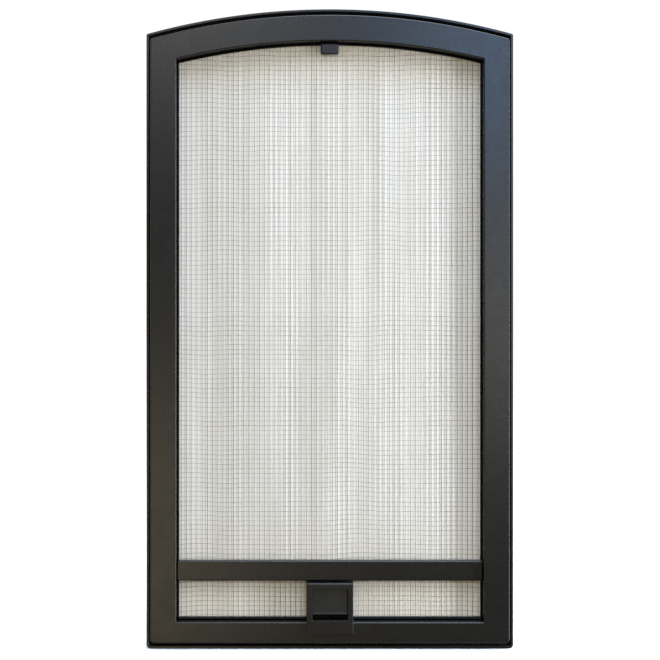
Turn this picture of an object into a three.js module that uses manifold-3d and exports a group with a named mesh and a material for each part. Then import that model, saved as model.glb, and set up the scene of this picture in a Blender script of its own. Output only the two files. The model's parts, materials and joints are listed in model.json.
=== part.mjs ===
// Free-standing fireplace screen with an arched head: a pressed front frame on a shallow back frame, a
// mesh panel that hangs on a pivot pin and tilts out at the bottom, a thumb latch and two folding feet.
// Millimetres, +Z up. Depth runs along +Y from the face of the front frame; the last lines move the origin
// to the middle of the footprint on the floor. The front faces -Y.
import * as THREE from "three";
import { mergeVertices } from "three/addons/utils/BufferGeometryUtils.js";
import Module from "manifold-3d";

const wasm = await Module();
wasm.setup();

// ---------------------------------------------------------------- driving dimensions
// Whole screen
const width = 436;
const height = 760;
const headRadius = 820;
const floorCornerRadius = 5;
const shoulderRadius = 2.4;
const sheet = 1.2;

// Back frame: an outer wall with a thick front lip, and a rear flange that laps behind the panel
const lipSetback = 8;
const lipThickness = 3;
const lipDepth = 4;
const backFrameRear = 25;
const panelLap = 8;

// Front frame: the rim left visible round it, and the width of its face
const rimSide = 5.2;
const rimEnd = 8.3;
const faceWidth = 30.8;
const bottomFaceWidth = 24.7;
const arrisRadius = 1.5;
const returnDepth = 12;
const openingCornerRadius = 1;

// Mesh panel
const panelSideGap = 0.8;
const panelHeadGap = 1.3;
const panelSillGap = 1;
const panelFront = 14;
const panelDepth = 7;
const panelWall = 1;
const panelLipWidth = 1.6;
const panelLipThickness = 0.8;
const panelSillLip = 3.2;
const meshThickness = 0.9;
const clothGap = 0.3;
const clothThickness = 0.8;
const retainerThickness = 1.4;
const retainerWidth = 9;
const tabLength = 14;
const tabReach = 5;
const tabsPerSide = 3;
const tabSpread = 95;

// Rail across the panel
const railBottom = 80.7;
const railHeight = 24.1;
const railFront = 6;
const railEndGap = 1.6;
const railBackGap = 0.3;
const railArris = 1.8;
const railBackerThickness = 3;
const railBackerEndGap = 1;
const railScrewSpread = 120;

// Thumb latch
const latchWidth = 55;
const latchBottom = 19.7;
const latchTop = 79.5;
const latchProud = 3;
const latchPlate = 2.5;
const latchWall = 2;
const latchRear = 13.7;
const latchBodyBottom = 34.5;
const latchBevel = 2.2;
const pocketWidth = 42;
const pocketBottom = 35.7;
const pocketTop = 72.1;
const pocketDepth = 9.5;
const padBottom = 42.4;
const padGap = 0.5;
const padSetback = 1.2;
const padLean = 3.4;
const padLip = 3;
const padLipRamp = 2;
const padLipEdge = 0.8;
const padThickness = 6;
const latchTravel = 6;
const latchClearance = 0.4;
const stemWidth = 10;
const stemBottom = 52;
const stemTop = 62;
const boltWidth = 16;
const boltThickness = 3;
const boltBackGap = 0.8;
const boltBottom = 34.8;
const boltTop = 66;
const latchCoverThickness = 2.2;
const latchBossDiameter = 8;
const latchScrewInset = 5.5;
const latchScrewHead = 7;
const latchBackerThickness = 2;
const detentNotch = 1.2;
const detentNotchRise = 20;
const detentLeaf = 0.8;
const detentHalfLength = 12;
const detentSideGap = 0.2;
const strikeWidth = 44;
const strikeThickness = 2;
const strikeFront = 2;
const strikeRear = 18;

// Pivot at the head
const pivotDepth = 16;
const pivotRise = 4.7;
const pivotDiameter = 4;
const pinLength = 26;
const hookWidth = 21.4;
const hookFront = 8.5;
const hookRear = 13.7;
const hookBottomDrop = 13.2;
const hookTopGap = 1;
const hookArris = 1.6;
const lugWidth = 10;
const lugFront = 12.6;
const lugRear = 19.5;
const lugRise = 3;
const cheekThickness = 2;
const cheekGap = 2;
const keeperLift = 1.7;
const keeperHeight = 14;
const keeperWidth = 44;
const keeperBase = 1.5;
const keeperScrewSpread = 16;
const keeperScrewDrop = 4.5;
const hookNotchSide = 0.7;
const hookNotchFront = 1.5;

// Folding feet
const legDiameter = 8;
const legHeight = 215;
const footReach = 148;
const footInset = 20;
const footLift = 1.5;
const braceTop = 192;
const tipRadius = 12;
const clipGap = 0.4;
const clipWall = 1.2;
const clipHeight = 12;
const clipTab = 16;
const clipScrewInset = 5;
const clipHeights = [46, 168];
const glideSink = 0.5;
const glideLength = 24;
const glideOuter = 7.5;
const glideFoldGap = 0.4;
const glideSetback = 16;

// Fasteners and pads
const screwDiameter = 4;
const screwHeadDiameter = 8;
const screwHeadHeight = 2.4;
const screwSocket = 2.6;
const screwSocketDepth = 1.3;
const rivetDiameter = 3;
const rivetGrip = 3.5;
const rivetHeadHeight = 0.6;
const postDiameter = 9;
const frameScrewsPerSide = 2;
const frameScrewLength = 12;
const keeperScrewLength = 4;
const clipScrewLength = 6;
const railScrewTipGap = 2.5;
const threadChamfer = 0.4;
const frameScrewHeadSpread = 95;
const frameScrewBottomSpread = 120;
const bumperDiameter = 6;
const bumpersPerSide = 2;
const bumperInset = 3.5;

// Clearances
const cutGap = 0.3;
const seatGap = 0.1;
// How far a cutting tool passes the face it cuts through
const past = 1;

// ---------------------------------------------------------------- levels that follow from them
const halfWidth = width / 2;
const flangeFront = backFrameRear - sheet;
const openingHalf = halfWidth - rimSide - faceWidth;
const sill = rimEnd + bottomFaceWidth;
const soffit = height - rimEnd - faceWidth;
const panelHalf = openingHalf - panelSideGap;
const panelTop = soffit - panelHeadGap;
const panelBottom = sill + panelSillGap;
const meshFront = panelFront + panelLipThickness;
const clothFront = meshFront + meshThickness + clothGap;
const clothRear = clothFront + clothThickness;
const retainerRear = clothRear + retainerThickness;
const panelRear = panelFront + panelDepth;
const railTop = railBottom + railHeight;
const railHalf = openingHalf - railEndGap;
const railRear = panelFront - railBackGap;
const railPostRear = meshFront - railBackGap;
const pivotHeight = panelTop + pivotRise;
const legDepth = backFrameRear + legDiameter / 2 + clipGap + clipWall;
const legSide = halfWidth - footInset;

// ---------------------------------------------------------------- materials
const finish = (color, roughness, metalness) =>
  new THREE.MeshStandardMaterial({ color, roughness, metalness });
const blackCoat = finish(0x2b2b29, 0.48, 0.35);
const zinc = finish(0x9a9c9d, 0.35, 0.9);
const springSteel = finish(0x6f7274, 0.3, 0.95);
const meshCoat = finish(0x3a3833, 0.55, 0.4);
const glassCloth = finish(0xe9e7e0, 0.95, 0);
const rubber = finish(0x1b1b1b, 0.85, 0);

// ---------------------------------------------------------------- solids
function asSolid(geometry) {
  const bare = geometry.clone();
  bare.deleteAttribute("normal");
  bare.deleteAttribute("uv");
  const merged = mergeVertices(bare, 1e-4);
  return new wasm.Manifold(
    new wasm.Mesh({
      numProp: 3,
      vertProperties: merged.attributes.position.array,
      triVerts: new Uint32Array(merged.index.array),
    }),
  );
}

function asGeometry(solid) {
  const { numProp, vertProperties, triVerts } = solid.getMesh();
  const geometry = new THREE.BufferGeometry();
  const positions = new Float32Array((vertProperties.length / numProp) * 3);
  for (let i = 0; i < positions.length / 3; i += 1) {
    positions.set(vertProperties.subarray(i * numProp, i * numProp + 3), i * 3);
  }
  geometry.setAttribute("position", new THREE.BufferAttribute(positions, 3));
  geometry.setIndex(new THREE.BufferAttribute(new Uint32Array(triVerts), 1));
  const flat = geometry.toNonIndexed();
  flat.computeVertexNormals();
  return flat;
}

const join = (first, ...rest) => asGeometry(rest.reduce((all, g) => all.add(asSolid(g)), asSolid(first)));
const cut = (first, ...rest) => asGeometry(rest.reduce((all, g) => all.subtract(asSolid(g)), asSolid(first)));

// A box from its low and high limits along each axis.
function box([x0, x1], [y0, y1], [z0, z1]) {
  const geometry = new THREE.BoxGeometry(x1 - x0, y1 - y0, z1 - z0);
  return geometry.translate((x0 + x1) / 2, (y0 + y1) / 2, (z0 + z1) / 2);
}

// A round bar along Y (depth), X (across) or Z (up).
function barAlongY(radius, [y0, y1], x, z, sides = 16) {
  return new THREE.CylinderGeometry(radius, radius, y1 - y0, sides).translate(x, (y0 + y1) / 2, z);
}

function barAlongX(radius, [x0, x1], y, z, sides = 16) {
  const bar = new THREE.CylinderGeometry(radius, radius, x1 - x0, sides).rotateZ(Math.PI / 2);
  return bar.translate((x0 + x1) / 2, y, z);
}

function barAlongZ(radius, [z0, z1], x, y, sides = 16) {
  const bar = new THREE.CylinderGeometry(radius, radius, z1 - z0, sides).rotateX(Math.PI / 2);
  return bar.translate(x, y, (z0 + z1) / 2);
}

// A flat plate: an outline in X and Z, from depth yFront to yRear.
function plate(points, [yFront, yRear]) {
  const shape = new THREE.Shape(points);
  const slab = new THREE.ExtrudeGeometry(shape, { depth: yRear - yFront, bevelEnabled: false });
  return slab.rotateX(Math.PI / 2).translate(0, yRear, 0);
}

// A bar with an outline in Y (depth) and Z, from x0 to x1.
function barAcross(points, [x0, x1]) {
  const shape = new THREE.Shape(points.map(([y, z]) => new THREE.Vector2(-z, y)));
  const bar = new THREE.ExtrudeGeometry(shape, { depth: x1 - x0, bevelEnabled: false });
  return bar.rotateY(Math.PI / 2).translate(x0, 0, 0);
}

// ---------------------------------------------------------------- arched outlines and rings
// An arched outline is described by its half width, bottom, top and head radius.
const screenOutline = {
  half: halfWidth,
  bottom: 0,
  top: height,
  radius: headRadius,
  foot: floorCornerRadius,
  shoulder: shoulderRadius,
};
const faceOutline = {
  half: halfWidth - rimSide,
  bottom: rimEnd,
  top: height - rimEnd,
  radius: headRadius - rimEnd,
  foot: floorCornerRadius,
  shoulder: shoulderRadius,
};
const openingOutline = {
  half: openingHalf,
  bottom: sill,
  top: soffit,
  radius: headRadius - rimEnd - faceWidth,
  foot: openingCornerRadius,
  shoulder: openingCornerRadius,
};
const panelOutline = {
  half: panelHalf,
  bottom: panelBottom,
  top: panelTop,
  radius: openingOutline.radius - panelHeadGap,
  foot: openingCornerRadius,
  shoulder: openingCornerRadius,
};

const leastCorner = 0.3;
const headSteps = 16;
const cornerSteps = 2;

// The same outline moved inwards by a distance; a negative one moves it outwards.
function inset(outline, distance, bottomDistance = distance) {
  return {
    half: outline.half - distance,
    bottom: outline.bottom + bottomDistance,
    top: outline.top - distance,
    radius: outline.radius - distance,
    foot: Math.max(outline.foot - distance, leastCorner),
    shoulder: Math.max(outline.shoulder - distance, leastCorner),
  };
}

function arcPoints(cx, cz, radius, from, to, steps) {
  const points = [];
  for (let i = 0; i <= steps; i += 1) {
    const angle = from + ((to - from) * i) / steps;
    points.push(new THREE.Vector2(cx + radius * Math.cos(angle), cz + radius * Math.sin(angle)));
  }
  return points;
}

// Points of an arched outline, anticlockwise seen from the front. Every outline has the same number.
function outlinePoints({ half, bottom, top, radius, foot, shoulder }) {
  const headCentre = top - radius;
  const shoulderX = half - shoulder;
  const shoulderZ = headCentre + Math.sqrt((radius - shoulder) ** 2 - shoulderX ** 2);
  const headStart = Math.atan2(shoulderZ - headCentre, shoulderX);
  const head = arcPoints(0, headCentre, radius, headStart, Math.PI - headStart, headSteps);
  return [
    ...arcPoints(half - foot, bottom + foot, foot, -Math.PI / 2, 0, cornerSteps),
    ...arcPoints(shoulderX, shoulderZ, shoulder, 0, headStart, cornerSteps).slice(0, -1),
    ...head,
    ...arcPoints(-shoulderX, shoulderZ, shoulder, Math.PI - headStart, Math.PI, cornerSteps).slice(1),
    ...arcPoints(-half + foot, bottom + foot, foot, Math.PI, 1.5 * Math.PI, cornerSteps),
  ];
}

// A closed ring: its section is a list of [outline, depth] corners, clockwise from outside to inside.
function ring(section) {
  const rows = section.map(([outline, y]) => outlinePoints(outline).map((p) => [p.x, y, p.y]));
  const count = rows[0].length;
  const triangles = [];
  for (let j = 0; j < rows.length; j += 1) {
    const row = rows[j];
    const next = rows[(j + 1) % rows.length];
    for (let i = 0; i < count; i += 1) {
      const k = (i + 1) % count;
      triangles.push(...row[i], ...row[k], ...next[k], ...row[i], ...next[k], ...next[i]);
    }
  }
  const geometry = new THREE.BufferGeometry();
  geometry.setAttribute("position", new THREE.BufferAttribute(new Float32Array(triangles), 3));
  geometry.computeVertexNormals();
  return geometry;
}

// Height of an arched outline's head at a distance across.
const headHeight = (outline, x) => outline.top - outline.radius + Math.sqrt(outline.radius ** 2 - x ** 2);

// Middles of the equal lengths that a run from low to high divides into.
function evenly(count, low, high) {
  return Array.from({ length: count }, (_, i) => low + ((high - low) * (i + 0.5)) / count);
}

const panelShoulder = headHeight(panelOutline, panelHalf);

// ---------------------------------------------------------------- fasteners
// A socket screw along Y with its head at the rear; y = 0 is the underside of its head.
function screw(length, diameter = screwDiameter, headDiameter = screwHeadDiameter) {
  const profile = [
    new THREE.Vector2(0, -length),
    new THREE.Vector2(diameter / 2 - threadChamfer, -length),
    new THREE.Vector2(diameter / 2, -length + 2 * threadChamfer),
    new THREE.Vector2(diameter / 2, 0),
    new THREE.Vector2(headDiameter / 2, 0),
    new THREE.Vector2(headDiameter / 2 - 0.3, screwHeadHeight * 0.6),
    new THREE.Vector2(headDiameter / 2 - 1.4, screwHeadHeight),
    new THREE.Vector2(0, screwHeadHeight),
  ];
  const body = new THREE.LatheGeometry(profile, 10);
  const socketDepth = [screwHeadHeight - screwSocketDepth, screwHeadHeight + past];
  const socket = barAlongY(screwSocket / 2, socketDepth, 0, 0, 6);
  return cut(body, socket);
}

const screwHole = (range, x, z) => barAlongY(screwDiameter / 2 + cutGap, range, x, z);

// ---------------------------------------------------------------- frames
const headCentreLine = inset(openingOutline, -faceWidth / 2);
const stileCentre = openingHalf + faceWidth / 2;
const sideScrewHeights = evenly(frameScrewsPerSide, legHeight, panelShoulder);
const postPlaces = [
  ...[-1, 1].flatMap((side) => sideScrewHeights.map((z) => [side * stileCentre, z])),
  ...[-1, 1].map((side) => [side * frameScrewHeadSpread, headHeight(headCentreLine, frameScrewHeadSpread)]),
  ...[-1, 1].map((side) => [side * frameScrewBottomSpread, sill - bottomFaceWidth / 2]),
];

const coverFront = meshFront - latchCoverThickness;
const boltFront = coverFront - boltBackGap - boltThickness;
const boltSlotX = [-boltWidth / 2 - latchClearance, boltWidth / 2 + latchClearance];
const boltSlotY = [boltFront - latchClearance, boltFront + boltThickness + latchClearance];

function frontFrame() {
  const soft = arrisRadius * (1 - Math.SQRT1_2);
  const shell = ring([
    [faceOutline, flangeFront],
    [faceOutline, arrisRadius],
    [inset(faceOutline, soft), soft],
    [inset(faceOutline, arrisRadius), 0],
    [inset(openingOutline, -arrisRadius), 0],
    [inset(openingOutline, -soft), soft],
    [openingOutline, arrisRadius],
    [openingOutline, returnDepth],
    [inset(openingOutline, -sheet), returnDepth],
    [inset(openingOutline, -sheet), arrisRadius + 0.2],
    [inset(openingOutline, -arrisRadius - 0.2), sheet],
    [inset(faceOutline, arrisRadius + 0.2), sheet],
    [inset(faceOutline, sheet), arrisRadius + 0.2],
    [inset(faceOutline, sheet), flangeFront],
  ]);
  const posts = postPlaces.map(([x, z]) => barAlongY(postDiameter / 2, [sheet / 2, flangeFront], x, z));
  const pilotDepth = [flangeFront - frameScrewLength, flangeFront + past];
  const pilots = postPlaces.map(([x, z]) => screwHole(pilotDepth, x, z));
  const hookNotch = box(
    [-hookWidth / 2 - hookNotchSide, hookWidth / 2 + hookNotchSide],
    [hookFront - hookNotchFront, returnDepth + past],
    [soffit - 2 * past, soffit + sheet + past],
  );
  const boltNotch = box(boltSlotX, [boltSlotY[0], returnDepth + past], [sill - sheet - past, sill + past]);
  return cut(join(shell, ...posts), ...pilots, hookNotch, boltNotch);
}

const keeperScrewHeight = panelTop + keeperLift + keeperHeight - keeperScrewDrop;
const clipScrewX = clipTab - clipScrewInset;

function backFrame() {
  const ledge = inset(panelOutline, panelLap);
  const shell = ring([
    [screenOutline, backFrameRear],
    [screenOutline, lipSetback + 0.8],
    [inset(screenOutline, 0.8), lipSetback],
    [inset(screenOutline, lipThickness - 0.6), lipSetback],
    [inset(screenOutline, lipThickness), lipSetback + 0.6],
    [inset(screenOutline, lipThickness), lipSetback + lipDepth],
    [inset(screenOutline, sheet), lipSetback + lipDepth + 1],
    [inset(screenOutline, sheet), flangeFront],
    [ledge, flangeFront],
    [ledge, backFrameRear],
  ]);
  const through = [flangeFront - past, backFrameRear + past];
  const holes = [
    ...postPlaces.map(([x, z]) => screwHole(through, x, z)),
    ...[-1, 1].map((side) => screwHole(through, side * keeperScrewSpread, keeperScrewHeight)),
    ...clipHeights.flatMap((z) => [-1, 1].map((side) => screwHole(through, side * (legSide + clipScrewX), z))),
  ];
  return cut(shell, ...holes);
}

function strikePlate() {
  const bar = box([-strikeWidth / 2, strikeWidth / 2], [strikeFront, strikeRear], [
    sill - sheet - strikeThickness,
    sill - sheet,
  ]);
  const slot = box(boltSlotX, boltSlotY, [sill - sheet - strikeThickness - past, sill]);
  return cut(bar, slot);
}

// ---------------------------------------------------------------- mesh panel
const panelHeadTabs = [-1, 1].map((side) => [side * tabSpread, headHeight(panelOutline, tabSpread)]);

function panelFrame() {
  const wallInside = inset(panelOutline, panelWall);
  const shell = ring([
    [panelOutline, panelRear],
    [panelOutline, panelFront],
    [inset(panelOutline, panelLipWidth, panelSillLip), panelFront],
    [inset(panelOutline, panelLipWidth, panelSillLip), meshFront],
    [wallInside, meshFront],
    [wallInside, panelRear],
  ]);
  const tabDepth = [retainerRear, retainerRear + panelWall];
  const sideTabs = [-1, 1].flatMap((side) =>
    evenly(tabsPerSide, panelBottom, panelShoulder).map((z) => {
      const across = [side * (panelHalf - panelWall / 2), side * (panelHalf - panelWall - tabReach)];
      return box(across.sort((a, b) => a - b), tabDepth, [z - tabLength / 2, z + tabLength / 2]);
    }),
  );
  const tabEnds = [tabSpread - tabLength / 2, tabSpread + tabLength / 2];
  const headFall = headHeight(panelOutline, tabEnds[0]) - headHeight(panelOutline, tabEnds[1]);
  const headTabs = panelHeadTabs.map(([x, z]) =>
    box([x - tabLength / 2, x + tabLength / 2], tabDepth, [z - headFall - panelWall - tabReach, z - headFall]),
  );
  const sillTabs = [-1, 1].map((side) =>
    box([side * tabSpread - tabLength / 2, side * tabSpread + tabLength / 2], tabDepth, [
      panelBottom + panelWall / 2,
      panelBottom + panelWall + tabReach,
    ]),
  );
  return join(shell, ...sideTabs, ...headTabs, ...sillTabs);
}

const railScrewPlaces = [-1, 0, 1].map((side) => [side * railScrewSpread, railBottom + railHeight / 2]);
const latchBackerBottom = panelBottom + panelWall + retainerWidth + 1;
const latchScrewPlaces = [-1, 1].flatMap((side) =>
  [latchBackerBottom + latchScrewInset, latchTop - latchScrewInset - 1].map((z) => [
    side * (latchWidth / 2 - latchScrewInset),
    z,
  ]),
);

function panelSheet(front, thickness) {
  const fit = inset(panelOutline, panelWall + seatGap);
  const sheetSolid = plate(outlinePoints(fit), [front, front + thickness]);
  const through = [front - past, front + thickness + past];
  const holes = [...railScrewPlaces, ...latchScrewPlaces].map(([x, z]) => screwHole(through, x, z));
  return cut(sheetSolid, ...holes);
}

function retainer() {
  const outer = inset(panelOutline, panelWall + seatGap);
  const inner = inset(panelOutline, panelWall + retainerWidth);
  return ring([
    [outer, retainerRear],
    [outer, clothRear],
    [inner, clothRear],
    [inner, retainerRear],
  ]);
}

function midRail() {
  const [back, inside] = [railRear, railFront + sheet];
  const channel = barAcross(
    [
      [back, railBottom],
      [back, railBottom + sheet],
      [inside, railBottom + sheet],
      [inside, railTop - sheet],
      [back, railTop - sheet],
      [back, railTop],
      [railFront + railArris, railTop],
      [railFront + railArris * 0.3, railTop - railArris * 0.3],
      [railFront, railTop - railArris],
      [railFront, railBottom + railArris],
      [railFront + railArris * 0.3, railBottom + railArris * 0.3],
      [railFront + railArris, railBottom],
    ],
    [-railHalf, railHalf],
  );
  const postDepth = [inside - sheet / 4, railPostRear];
  const posts = railScrewPlaces.map(([x, z]) => barAlongY(postDiameter / 2, postDepth, x, z));
  const pilots = railScrewPlaces.map(([x, z]) => screwHole([inside + sheet, railPostRear + past], x, z));
  return cut(join(channel, ...posts), ...pilots);
}

const railBackerHalf = panelHalf - panelWall - retainerWidth - railBackerEndGap;

function railBacker() {
  const depth = [clothRear, clothRear + railBackerThickness];
  const bar = box([-railBackerHalf, railBackerHalf], depth, [railBottom, railTop]);
  return cut(bar, ...railScrewPlaces.map(([x, z]) => screwHole([depth[0] - past, depth[1] + past], x, z)));
}

// ---------------------------------------------------------------- latch
const pocketFloor = pocketDepth - latchProud;
const pocketX = [-pocketWidth / 2, pocketWidth / 2];
const boltSpace = [pocketFloor + latchWall, latchRear + past];
const latchInsideX = latchWidth / 2 - latchWall;
const rivetHeight = (stemBottom + stemTop) / 2;

function latchHousing() {
  const half = latchWidth / 2;
  const body = box([-half, half], [-latchProud + latchPlate / 2, latchRear], [latchBodyBottom, latchTop]);
  const face = barAcross(
    [
      [-latchProud + latchPlate, latchBottom],
      [-latchProud + latchPlate, latchTop],
      [-latchProud + latchBevel * 0.55, latchTop],
      [-latchProud, latchTop - latchBevel],
      [-latchProud, latchBottom + 0.8],
      [-latchProud + 0.8, latchBottom],
    ],
    [-half, half],
  );
  const pocket = box(pocketX, [-latchProud - past, pocketFloor], [pocketBottom, pocketTop]);
  const rearZ = [latchBodyBottom + latchWall, latchTop - latchWall];
  const rear = box([-latchInsideX, latchInsideX], boltSpace, rearZ);
  const stemSlot = box(
    [-stemWidth / 2 - latchClearance, stemWidth / 2 + latchClearance],
    [pocketFloor - past, boltSpace[0] + past],
    [stemBottom - latchTravel - latchClearance, stemTop + latchClearance],
  );
  const boltExit = box(boltSlotX, boltSlotY, [latchBodyBottom - past, latchBodyBottom + latchWall + past]);
  const bossDepth = [boltSpace[0] - latchWall / 2, coverFront];
  const bosses = latchScrewPlaces.map(([x, z]) => barAlongY(latchBossDiameter / 2, bossDepth, x, z));
  const pilots = latchScrewPlaces.map(([x, z]) => screwHole([bossDepth[0], latchRear + past], x, z));
  const shell = cut(join(body, face), pocket, rear, stemSlot, boltExit);
  return cut(join(shell, ...bosses), ...pilots);
}

function latchCover() {
  const gap = cutGap;
  const bottom = Math.max(latchBodyBottom + latchWall, panelBottom + panelSillLip) + gap;
  const depth = [coverFront, meshFront];
  const slab = box([-latchInsideX + gap, latchInsideX - gap], depth, [bottom, latchTop - latchWall - gap]);
  return cut(slab, ...latchScrewPlaces.map(([x, z]) => screwHole([depth[0] - past, depth[1] + past], x, z)));
}

function latchBacker() {
  const depth = [clothRear, clothRear + latchBackerThickness];
  const slab = box([-latchWidth / 2, latchWidth / 2], depth, [latchBackerBottom, latchTop - 1]);
  return cut(slab, ...latchScrewPlaces.map(([x, z]) => screwHole([depth[0] - past, depth[1] + past], x, z)));
}

// The thumb pad: a block whose face leans back above a raised lower lip, and a stem through the pocket floor.
function thumbPad() {
  const front = -latchProud + padSetback;
  const rear = front + padThickness;
  const top = pocketTop - cutGap;
  // The face leans back above the lip, deepest at the top.
  const face = [
    [front + padLean, top],
    [front + padLean * 0.7, padBottom + padLip + padLipRamp * 4],
    [front + padLean * 0.4, padBottom + padLip + padLipRamp],
    [front, padBottom + padLip],
    [front, padBottom + padLipEdge],
    [front + padLipEdge, padBottom],
  ];
  const block = barAcross(
    [[rear, padBottom], [rear, top], ...face],
    [pocketX[0] + padGap, pocketX[1] - padGap],
  );
  const stem = box([-stemWidth / 2, stemWidth / 2], [rear - past, boltFront], [stemBottom, stemTop]);
  const rivetDepth = [boltFront - rivetGrip - cutGap, boltFront + past];
  const rivetHole = barAlongY(rivetDiameter / 2 + cutGap, rivetDepth, 0, rivetHeight);
  return cut(join(block, stem), rivetHole);
}

const notchHeights = [boltBottom + detentNotchRise, boltBottom + detentNotchRise + latchTravel];

function latchBolt() {
  const depth = [boltFront, boltFront + boltThickness];
  const bar = box([-boltWidth / 2, boltWidth / 2], depth, [boltBottom, boltTop]);
  const hole = barAlongY(rivetDiameter / 2 + cutGap, [depth[0] - past, depth[1] + past], 0, rivetHeight);
  const notches = notchHeights.map((z) =>
    barAlongY(detentNotch, [depth[0] - past, depth[1] + past], boltWidth / 2 + detentNotch / 3, z),
  );
  return cut(bar, hole, ...notches);
}

function boltRivet() {
  const [low, high] = [boltFront - rivetGrip, boltFront + boltThickness];
  const shank = barAlongY(rivetDiameter / 2, [low, high + rivetHeadHeight / 2], 0, 0);
  const head = barAlongY(rivetDiameter, [high, high + rivetHeadHeight], 0, 0);
  return join(shank, head);
}

// A leaf spring beside the bolt, with a bump that drops into the bolt's notches.
function detentSpring() {
  const bumpTip = boltWidth / 2 + detentSideGap;
  const middle = notchHeights[0];
  const upperHalf = [
    [bumpTip, 0],
    [bumpTip + detentNotch, detentHalfLength / 6],
    [bumpTip + detentNotch * 1.4, detentHalfLength / 2],
    [bumpTip + detentNotch * 4.6, detentHalfLength],
  ];
  const lowerHalf = upperHalf.slice(1).map(([x, rise]) => [x, -rise]);
  const line = [...lowerHalf.reverse(), ...upperHalf].map(([x, rise]) => [x, middle + rise]);
  const outer = line.map(([x, z]) => new THREE.Vector2(x + detentLeaf, z));
  const inner = line.map(([x, z]) => new THREE.Vector2(x, z));
  const depth = [boltFront + detentSideGap, boltFront + boltThickness - detentSideGap];
  return plate([...outer, ...inner.reverse()], depth);
}

// ---------------------------------------------------------------- pivot
// The hook: a pad in front of the mesh and a lug above the panel frame that carries the pivot pin.
function topHook() {
  const top = soffit - hookTopGap;
  const half = hookWidth / 2;
  const bottom = soffit - hookBottomDrop - hookTopGap;
  const pad = plate(
    [
      [-half, bottom + hookArris],
      [-half + hookArris, bottom],
      [half - hookArris, bottom],
      [half, bottom + hookArris],
      [half, top],
      [-half, top],
    ].map(([x, z]) => new THREE.Vector2(x, z)),
    [hookFront, hookRear],
  );
  const lugX = [-lugWidth / 2, lugWidth / 2];
  const lugTop = pivotHeight + lugRise;
  const neck = box(lugX, [lugFront, hookRear], [top - past, lugTop]);
  const lug = box(lugX, [lugFront, lugRear], [panelTop + seatGap, lugTop]);
  const bore = barAlongX(pivotDiameter / 2 + cutGap, [-lugWidth, lugWidth], pivotDepth, pivotHeight);
  return cut(join(pad, neck, lug), bore);
}

function pivotKeeper() {
  const bottom = panelTop + keeperLift;
  const base = box([-keeperWidth / 2, keeperWidth / 2], [flangeFront - keeperBase, flangeFront], [
    bottom,
    bottom + keeperHeight,
  ]);
  const cheekInner = lugWidth / 2 + cheekGap;
  const cheeks = [-1, 1].map((side) => {
    const limits = [side * cheekInner, side * (cheekInner + cheekThickness)].sort((a, b) => a - b);
    return box(limits, [lugFront, flangeFront - keeperBase / 2], [bottom, pivotHeight + lugRise + past]);
  });
  const bore = barAlongX(pivotDiameter / 2 + cutGap, [-keeperWidth, keeperWidth], pivotDepth, pivotHeight);
  const pilotDepth = [flangeFront - keeperBase - past, flangeFront + past];
  const pilots = [-1, 1].map((side) => screwHole(pilotDepth, side * keeperScrewSpread, keeperScrewHeight));
  return cut(join(base, ...cheeks), bore, ...pilots);
}

// ---------------------------------------------------------------- feet
// A path that is straight between stations, so that a sweep takes one step for each of them.
class StationPath extends THREE.Curve {
  constructor(stations) {
    super();
    this.stations = stations;
  }

  getPoint(t) {
    const place = Math.min(Math.max(t, 0), 1) * (this.stations.length - 1);
    const index = Math.min(Math.floor(place), this.stations.length - 2);
    return new THREE.Vector3().lerpVectors(this.stations[index], this.stations[index + 1], place - index);
  }

  getPointAt(t) {
    return this.getPoint(t);
  }
}

// The foot in its own frame: the upright leg stands on the pivot line and the foot reaches along +Y.
function foot() {
  const radius = legDiameter / 2;
  const floorLine = footLift + radius;
  const tip = footReach - radius - tipRadius;
  const slope = Math.atan2(braceTop - floorLine - tipRadius, tip);
  const turn = Math.PI / 2 + slope;
  const stations = [new THREE.Vector3(0, 0, floorLine)];
  const bendSteps = 7;
  for (let i = 0; i <= bendSteps; i += 1) {
    const angle = -Math.PI / 2 + (turn * i) / bendSteps;
    const rise = tipRadius + tipRadius * Math.sin(angle);
    stations.push(new THREE.Vector3(0, tip + tipRadius * Math.cos(angle), floorLine + rise));
  }
  stations.push(new THREE.Vector3(0, 0, braceTop));
  const circle = new THREE.Shape().absarc(0, 0, radius, 0, 2 * Math.PI);
  const frameRod = new THREE.ExtrudeGeometry(circle, {
    steps: stations.length - 1,
    curveSegments: 6,
    extrudePath: new StationPath(stations),
  });
  const leg = barAlongZ(radius, [footLift, legHeight], 0, 0, 14);
  return join(leg, frameRod);
}

// The rubber shoe near the foot's tip, for the right foot. Its inner side is thinner, because that side turns
// to the back frame when the foot folds.
function footGlide() {
  const rear = footReach - glideSetback;
  const inner = legDepth - backFrameRear - glideFoldGap;
  const shoe = box([-inner, glideOuter], [rear - glideLength, rear], [0, footLift + legDiameter - glideSink]);
  const floorLine = footLift + legDiameter / 2;
  const rodLength = [rear - glideLength - past, rear + past];
  const rodSpace = barAlongY(legDiameter / 2 + cutGap, rodLength, 0, floorLine, 14);
  return cut(shoe, rodSpace);
}

// A strap clip round the leg, with its screw tab on the outer side.
function legClip() {
  const bore = legDiameter / 2 + clipGap;
  const span = [-clipHeight / 2, clipHeight / 2];
  const backPlane = -bore - clipWall;
  const loop = barAlongZ(bore + clipWall, span, 0, 0, 20);
  const tab = box([0, clipTab], [backPlane, backPlane + clipWall], span);
  const space = barAlongZ(bore, [span[0] - past, span[1] + past], 0, 0, 20);
  const hole = screwHole([backPlane - past, backPlane + clipWall + past], clipScrewX, 0);
  return cut(join(loop, tab), space, hole);
}

// ---------------------------------------------------------------- assembly
function part(name, geometry, material, [x, y, z] = [0, 0, 0]) {
  const mesh = new THREE.Mesh(geometry, material);
  mesh.name = name;
  mesh.position.set(x, y, z);
  return mesh;
}

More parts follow.
